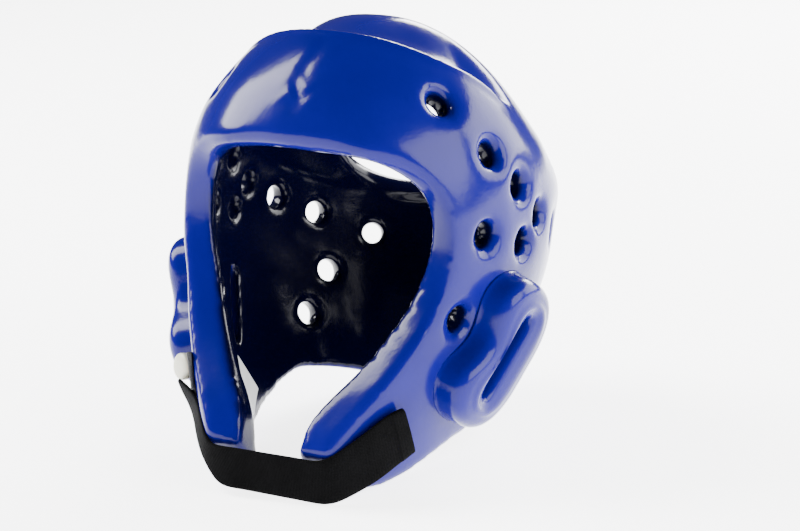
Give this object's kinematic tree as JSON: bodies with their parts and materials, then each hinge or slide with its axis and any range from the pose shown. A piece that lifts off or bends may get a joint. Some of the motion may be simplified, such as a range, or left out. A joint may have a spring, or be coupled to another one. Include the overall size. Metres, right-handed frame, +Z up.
{
  "type": "taekwondo sparring headgear",
  "caption": "One-piece dipped-foam headgear with open face, crown and neck, slotted ear pads, vent holes and an elastic chin strap that fastens on the left cheek.",
  "frame": {"origin": "bottom middle of the headgear's box, on the surface that it stands on", "axes": "+Z up from the surface, -Y out of the face opening, +X to the wearer's left"},
  "size_m": [0.2294, 0.2576, 0.2396],
  "materials": {
    "dipped_vinyl": "glossy dipped skin over soft foam",
    "elastic": "woven black elastic",
    "tab_fabric": "brushed dark grey fabric",
    "cap": "satin cream plastic",
    "label": "bare light grey printed-label cloth"
  },
  "bodies": {
    "root": {"shell": "dipped_vinyl", "ear_pad_left": "dipped_vinyl", "ear_pad_right": "dipped_vinyl", "chin_strap": "elastic", "strap_tab": "tab_fabric", "strap_rivet": "cap", "loop_strip": "elastic", "hook_strip": "elastic", "inner_label": "label"}
  },
  "joints": []
}
